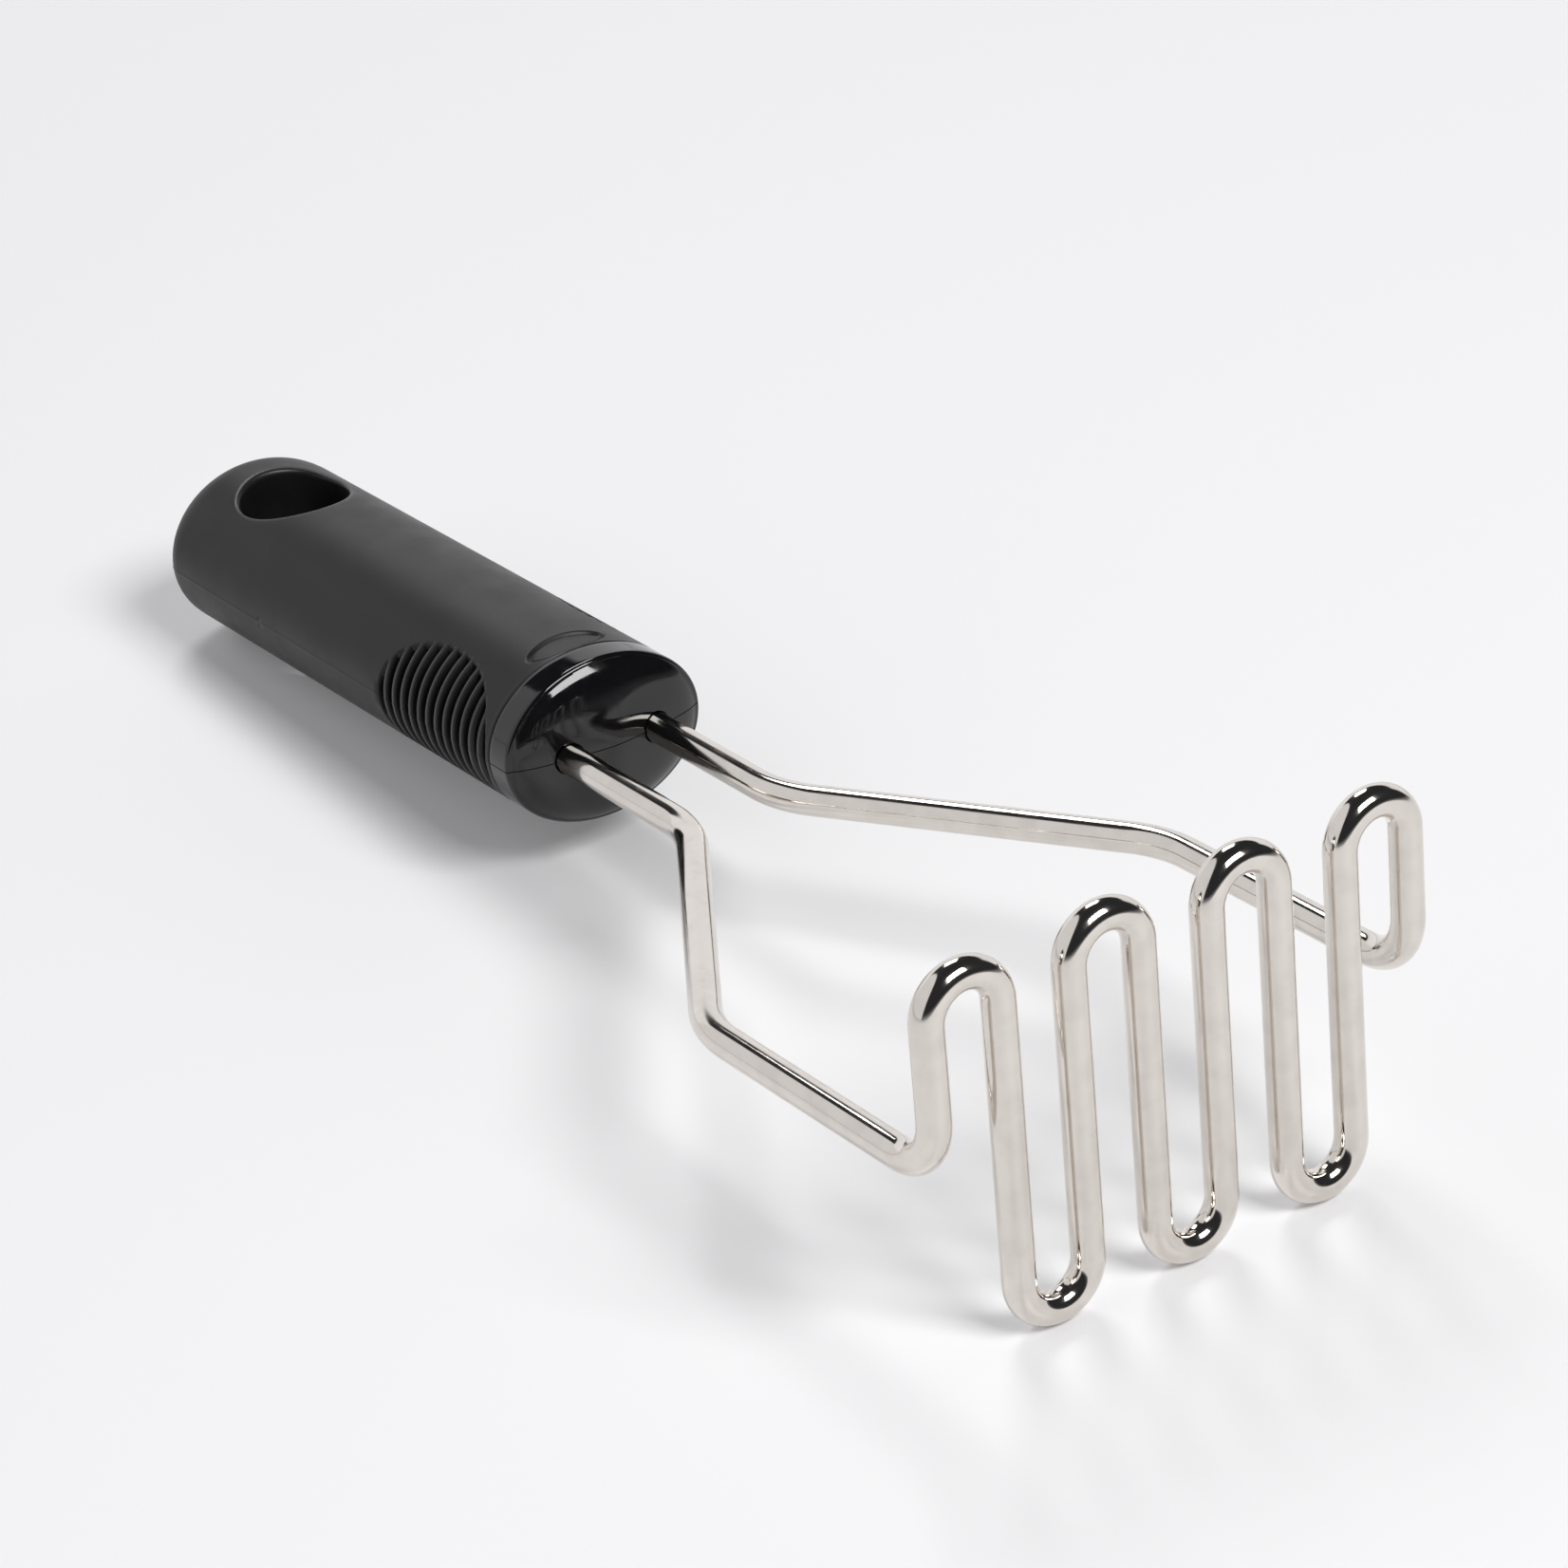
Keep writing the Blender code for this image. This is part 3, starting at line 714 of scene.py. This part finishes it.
def soft_elastomer():
    """Black thermoplastic elastomer, moulded on a spark-eroded tool: a dark grey satin with a fine
    grain, a little smoother where hands polish it, and painted lighter there as a sheen and highlight."""
    made, tree, shader = new_material("tpe_moulded_satin_black")
    place = add(tree, "ShaderNodeTexCoord").outputs["Object"]
    wear_and_sheen = add(tree, "ShaderNodeAttribute", {"attribute_name": "wear_and_sheen"}).outputs["Fac"]
    # Grain: real spark erosion is about 0.08 mm; this is 0.25 mm so that it shows.
    grain = noise(tree, place, scale=4000.0, detail=2.0)
    mottle = noise(tree, place, scale=130.0, detail=5.0)
    cloud = ramp(tree, mottle, 0.3, 0.7, 0.0, 1.0)
    tone = blended(tree, cloud, linear("#131314"), linear("#171718"))
    # Painted sheen and highlight: the base colour lightens towards #262627 by the mask; only the
    # roughness change below is real wear.
    tone_with_wear_and_sheen = blended(tree, wear_and_sheen, tone, linear("#262627"))
    satin = ramp(tree, mottle, 0.3, 0.7, 0.40, 0.47)
    rubbed = add(tree, "ShaderNodeMath", {"operation": "MULTIPLY_ADD"}, {0: wear_and_sheen, 1: -0.12, 2: satin})
    bump = add(tree, "ShaderNodeBump", {}, {"Height": grain, "Strength": 0.35, "Distance": 0.03 * MM})
    tree.links.new(tone_with_wear_and_sheen, shader.inputs["Base Color"])
    tree.links.new(rubbed.outputs[0], shader.inputs["Roughness"])
    tree.links.new(bump.outputs["Normal"], shader.inputs["Normal"])
    shader.inputs["IOR"].default_value = 1.38
    return made


def gloss_plastic():
    """Black ABS from a polished mould: deep black gloss, with the faint long ripple of a moulded
    skin and a light haze of handling."""
    made, tree, shader = new_material("abs_moulded_gloss_black")
    place = add(tree, "ShaderNodeTexCoord").outputs["Object"]
    ripple = noise(tree, place, scale=180.0, detail=1.0)
    haze = noise(tree, place, scale=420.0, detail=6.0)
    bump = add(tree, "ShaderNodeBump", {}, {"Height": ripple, "Strength": 0.2, "Distance": 0.02 * MM})
    tone = blended(tree, haze, linear("#0c0c0e"), linear("#121214"))
    tree.links.new(tone, shader.inputs["Base Color"])
    tree.links.new(ramp(tree, haze, 0.35, 0.75, 0.05, 0.13), shader.inputs["Roughness"])
    tree.links.new(bump.outputs["Normal"], shader.inputs["Normal"])
    shader.inputs["IOR"].default_value = 1.54
    return made


def table_white():
    """Opal acrylic with a matt face and a faint painted glow of its own: pale, with light shadows."""
    made, tree, shader = new_material("opal_acrylic_matt_white")
    shader.inputs["Base Color"].default_value = linear("#ebebec")
    shader.inputs["Roughness"].default_value = 0.55
    shader.inputs["IOR"].default_value = 1.33
    # Painted glow: the sheet emits light itself, standing in for fill light, so the shadows on it stay
    # light.
    shader.inputs["Emission Color"].default_value = linear("#f6f5f7")
    shader.inputs["Emission Strength"].default_value = 0.10
    return made


# ==== Stage =======================================================================================
CAMERA_AZIMUTH = 56.48
CAMERA_ELEVATION = 29.26
CAMERA_ROLL = -3.21
CAMERA_DISTANCE = 0.7849
CAMERA_TARGET = Vector((0.0259, 0.0062, 0.0285))
CAMERA_LENS = 117.4


def camera():
    """A long lens from the front right, aimed at the middle of the tool and slightly rolled."""
    data = bpy.data.cameras.new("camera")
    data.lens = CAMERA_LENS
    data.sensor_width = 36.0
    item = bpy.data.objects.new("camera", data)
    bpy.context.scene.collection.objects.link(item)
    bpy.context.scene.camera = item
    azimuth, elevation = math.radians(CAMERA_AZIMUTH), math.radians(CAMERA_ELEVATION)
    back = Vector((math.sin(azimuth) * math.cos(elevation), -math.cos(azimuth) * math.cos(elevation),
                   math.sin(elevation)))
    item.location = CAMERA_TARGET + back * CAMERA_DISTANCE
    level = back.to_track_quat("Z", "Y").to_matrix().to_4x4()
    turned = level @ Matrix.Rotation(math.radians(CAMERA_ROLL), 4, "Z")
    item.matrix_world = Matrix.Translation(item.location) @ turned
    return item


def softbox(name, azimuth, elevation, distance, size, radiance):
    """A white rectangular softbox that looks at the tool's middle, azimuth being counted from +X to +Y.

    A flat light of P watts and A square metres has a radiance of P / (pi A), which gives its power.
    """
    data = bpy.data.lights.new(name, "AREA")
    data.shape = "RECTANGLE"
    data.size, data.size_y = size
    data.energy = math.pi * radiance * size[0] * size[1]
    item = bpy.data.objects.new(name, data)
    bpy.context.scene.collection.objects.link(item)
    turn, rise = math.radians(azimuth), math.radians(elevation)
    aim = Vector((math.cos(rise) * math.cos(turn), math.cos(rise) * math.sin(turn), math.sin(rise)))
    item.location = CAMERA_TARGET + aim * distance
    item.rotation_euler = aim.to_track_quat("Z", "Y").to_euler()
    return item


def combined(tree, operation, first, second):
    """One value from two by a math node's operation, such as MULTIPLY or MAXIMUM."""
    return add(tree, "ShaderNodeMath", {"operation": operation}, {0: first, 1: second}).outputs[0]


def facing(tree, way, azimuth, elevation, edge, softness):
    """1 within an angle of a direction and 0 outside it, fading over the softness, all in degrees."""
    turn, rise = math.radians(azimuth), math.radians(elevation)
    aim = (math.cos(rise) * math.cos(turn), math.cos(rise) * math.sin(turn), math.sin(rise))
    near = add(tree, "ShaderNodeVectorMath", {"operation": "DOT_PRODUCT"}, {0: way, 1: aim})
    outer, inner = (math.cos(math.radians(edge + off)) for off in (softness, -softness))
    return ramp(tree, near.outputs["Value"], outer, inner, 0.0, 1.0)


def room():
    """A dark studio with a big round white reflector on the handle's left, a low bright wall behind
    the tool up to about 29 degrees, and a dim glow lying low all round."""
    world = bpy.data.worlds.new("studio")
    bpy.context.scene.world = world
    world.use_nodes = True
    tree = world.node_tree
    way = add(tree, "ShaderNodeTexCoord").outputs["Generated"]
    height = add(tree, "ShaderNodeSeparateXYZ", {}, {0: way}).outputs["Z"]
    reflector = facing(tree, way, azimuth=240, elevation=15, edge=50.5, softness=1.0)
    behind = facing(tree, way, azimuth=145, elevation=0, edge=55, softness=4)
    low = ramp(tree, height, 0.45, 0.49, 1.0, 0.0)
    glow = ramp(tree, height, 0.0, 0.12, 0.25, 0.0)
    wall = combined(tree, "MULTIPLY", behind, low)
    dimmed = combined(tree, "MULTIPLY", reflector, 0.84)
    lit = combined(tree, "MAXIMUM", combined(tree, "MAXIMUM", wall, dimmed), glow)
    tone = blended(tree, lit, linear("#2e2e30"), linear("#fbfbfd"))
    tree.links.new(tone, tree.nodes["Background"].inputs["Color"])


def floor(finish):
    """A wide flat sheet of opal acrylic under the tool."""
    mesh = bpy.data.meshes.new("table_sheet")
    half = 8.0
    corners = [(-half, -half, 0), (half, -half, 0), (half, half, 0), (-half, half, 0)]
    mesh.from_pydata(corners, [], [(0, 1, 2, 3)])
    sheet = bpy.data.objects.new("table_sheet", mesh)
    mesh.materials.append(finish)
    bpy.context.scene.collection.objects.link(sheet)
    return sheet


def build():
    masher_wire(polished_stainless())
    grip_sleeve(soft_elastomer())
    plastic = gloss_plastic()
    core_half("cap_and_core_upper", "core_upper", 1, plastic)
    core_half("cap_and_core_lower", "core_lower", -1, plastic)
    camera()
    room()
    bpy.context.scene.view_settings.view_transform = "Standard"
    floor(table_white())
    softbox("key_softbox", azimuth=15, elevation=48, distance=2.2, size=(1.10, 0.85), radiance=12.6)
    softbox("back_softbox", azimuth=155, elevation=47.5, distance=2.4, size=(0.75, 0.80), radiance=8.0)


build()
